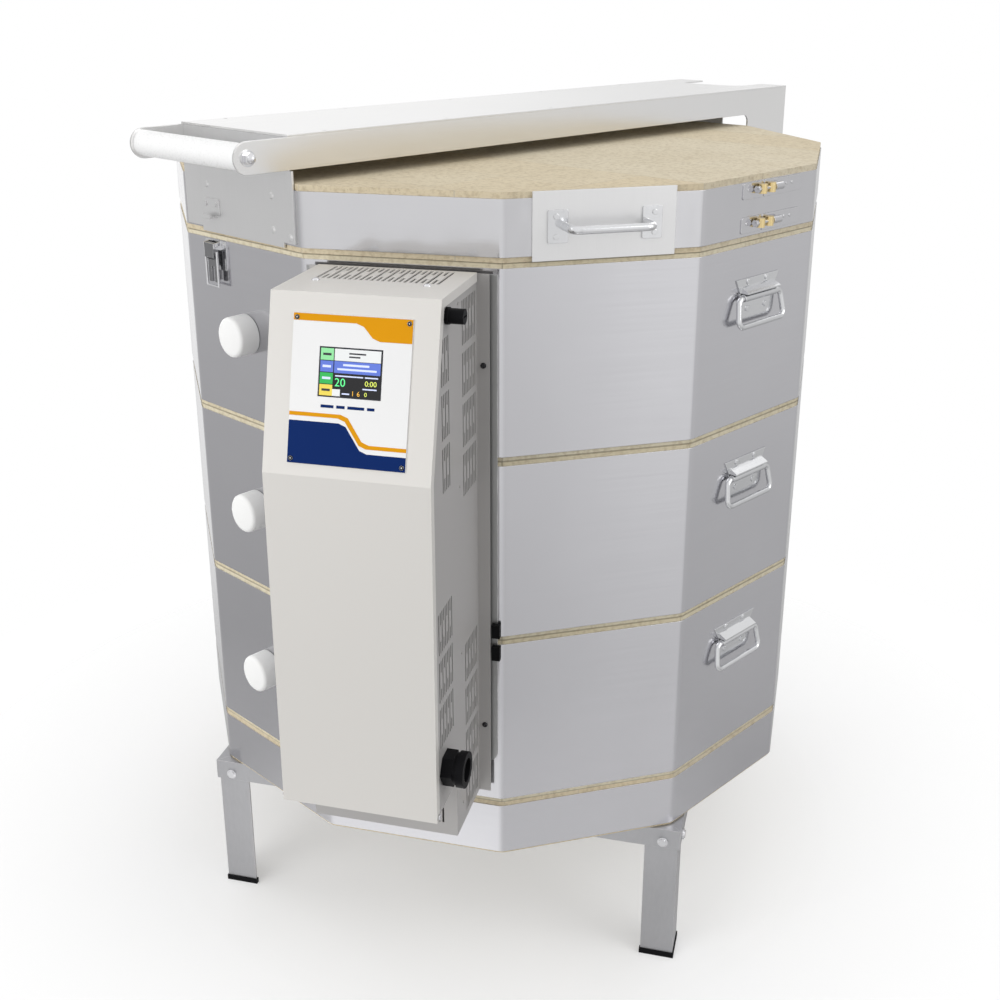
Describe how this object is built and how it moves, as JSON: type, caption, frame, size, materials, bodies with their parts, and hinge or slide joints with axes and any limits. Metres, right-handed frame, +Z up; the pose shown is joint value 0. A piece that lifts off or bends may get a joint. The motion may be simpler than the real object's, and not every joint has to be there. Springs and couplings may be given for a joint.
{
  "type": "top-loading electric ceramic kiln",
  "caption": "Tall twelve-sided electric kiln of stacked brick rings in steel jackets, with a hinged lid on a lifting arm, a side control box and an angle-steel stand.",
  "frame": {"origin": "on the kiln's vertical axis at floor level, midway between the four feet", "axes": "+Z up, -Y towards the front with the lid's lifting handle, +X towards the side with the three section handles next to the control box"},
  "size_m": [0.907, 1.157, 1.098],
  "materials": {
    "stand_steel": "aluminised sheet steel, dull grey with a faint grain",
    "black_cap": "black moulded plastic",
    "bright_hardware": "bright zinc-plated steel",
    "bail_steel": "bright plated rod",
    "lever_steel": "dark plated steel",
    "brick": "porous cream insulating firebrick with thin mortar joints",
    "stainless": "fine brushed stainless sheet with clear soft reflections",
    "ceramic": "unglazed ivory ceramic",
    "element_wire": "oxidised resistance wire",
    "brass": "plain brass",
    "plate_steel": "satin stainless plate",
    "plug_ceramic": "smooth white ceramic",
    "white_grip": "smooth white tube",
    "hinge_steel": "zinc-plated steel gone dull",
    "spring_steel": "black oxidised spring steel",
    "shield": "dull aluminised sheet",
    "box_paint": "grey powder coat",
    "door_paint": "warm light grey powder coat",
    "face_print": "white printed plate with navy and orange shapes",
    "screen": "dark glossy touch screen",
    "relay_case": "pale moulded relay cases"
  },
  "bodies": {
    "root": {"long_rails": "stand_steel", "cross_rails": "stand_steel", "legs": "stand_steel", "foot_caps": "black_cap", "stand_bolts": "bright_hardware", "floor_slab": "brick", "floor_band": "stainless", "lower_bricks": "brick", "middle_bricks": "brick", "upper_bricks": "brick", "lower_jacket": "stainless", "middle_jacket": "stainless", "upper_jacket": "stainless", "element_holders": "ceramic", "heating_elements": "element_wire", "element_tails": "element_wire", "terminal_blocks": "ceramic", "thermocouples": "ceramic", "section_clamps": "bright_hardware", "section_clamp_barrels": "brass", "handle_plates": "plate_steel", "latch_base": "bright_hardware", "hinge_base": "hinge_steel", "hinge_rod": "hinge_steel", "lid_springs": "spring_steel", "heat_shield": "shield", "control_chassis": "box_paint", "door_pins": "bright_hardware", "power_parts": "relay_case", "jumper_plug": "black_cap", "cable_gland": "black_cap"},
    "lid": {"latch_catch": "bright_hardware", "lid_slab": "brick", "lid_band": "stainless", "lid_front_plate": "plate_steel", "lid_rear_plate": "plate_steel", "lid_side_plate": "plate_steel", "lid_side_handle": "bright_hardware", "lid_clamps": "bright_hardware", "lid_clamp_barrels": "brass", "arm_cheeks": "plate_steel", "arm_cover": "plate_steel", "lift_handle": "white_grip", "handle_rod": "bright_hardware"},
    "latch_lever": {"latch_lever": "lever_steel"},
    "latch_loop": {"latch_loop": "bright_hardware"},
    "control_door": {"control_door": "door_paint", "face_plate": "face_print", "touch_screen": "screen", "door_screws": "bright_hardware"},
    "fuse_cap": {"fuse_cap": "black_cap"},
    "bail_right_lower": {"bail_right_lower": "bail_steel"},
    "bail_right_middle": {"bail_right_middle": "bail_steel"},
    "bail_right_upper": {"bail_right_upper": "bail_steel"},
    "bail_left_lower": {"bail_left_lower": "bail_steel"},
    "bail_left_middle": {"bail_left_middle": "bail_steel"},
    "bail_left_upper": {"bail_left_upper": "bail_steel"},
    "plug_lower": {"plug_lower": "plug_ceramic"},
    "plug_middle": {"plug_middle": "plug_ceramic"},
    "plug_upper": {"plug_upper": "plug_ceramic"}
  },
  "joints": [
    {"name": "lid_hinge", "type": "hinge", "parent": "root", "child": "lid", "pos_m": [0, 0.5, 0.963], "axis": [-1, 0, 0], "range_deg": [0, 85]},
    {"name": "latch_lever_pivot", "type": "hinge", "parent": "root", "child": "latch_lever", "pos_m": [-0.054, -0.441, 0.956], "axis": [-1, 0, 0], "range_deg": [0, 70]},
    {"name": "latch_loop_pivot", "type": "hinge", "parent": "latch_lever", "child": "latch_loop", "pos_m": [-0.054, -0.442, 0.948], "axis": [-1, 0, 0], "range_deg": [0, 95]},
    {"name": "bail_right_lower_pivot", "type": "hinge", "parent": "root", "child": "bail_right_lower", "pos_m": [0.4391, 0, 0.4448], "axis": [0, -1, 0], "range_deg": [0, 90]},
    {"name": "bail_right_middle_pivot", "type": "hinge", "parent": "root", "child": "bail_right_middle", "pos_m": [0.4391, 0, 0.6734], "axis": [0, -1, 0], "range_deg": [0, 90]},
    {"name": "bail_right_upper_pivot", "type": "hinge", "parent": "root", "child": "bail_right_upper", "pos_m": [0.4391, 0, 0.902], "axis": [0, -1, 0], "range_deg": [0, 90]},
    {"name": "bail_left_lower_pivot", "type": "hinge", "parent": "root", "child": "bail_left_lower", "pos_m": [-0.4391, 0, 0.4448], "axis": [0, 1, 0], "range_deg": [0, 90]},
    {"name": "bail_left_middle_pivot", "type": "hinge", "parent": "root", "child": "bail_left_middle", "pos_m": [-0.4391, 0, 0.6734], "axis": [0, 1, 0], "range_deg": [0, 90]},
    {"name": "bail_left_upper_pivot", "type": "hinge", "parent": "root", "child": "bail_left_upper", "pos_m": [-0.4391, 0, 0.902], "axis": [0, 1, 0], "range_deg": [0, 90]},
    {"name": "plug_lower_slide", "type": "slide", "parent": "root", "child": "plug_lower", "axis": [0, -1, 0], "range_m": [0, 0.12]},
    {"name": "plug_middle_slide", "type": "slide", "parent": "root", "child": "plug_middle", "axis": [0, -1, 0], "range_m": [0, 0.12]},
    {"name": "plug_upper_slide", "type": "slide", "parent": "root", "child": "plug_upper", "axis": [0, -1, 0], "range_m": [0, 0.12]},
    {"name": "control_door_hinge", "type": "hinge", "parent": "root", "child": "control_door", "pos_m": [0.309, -0.5352, 0.385], "axis": [0.866, 0.5, 0], "range_deg": [0, 75]},
    {"name": "fuse_cap_turn", "type": "hinge", "parent": "root", "child": "fuse_cap", "pos_m": [0.3651, -0.43238, 0.939], "axis": [0.866, 0.5, 0], "range_deg": [0, 90]}
  ]
}
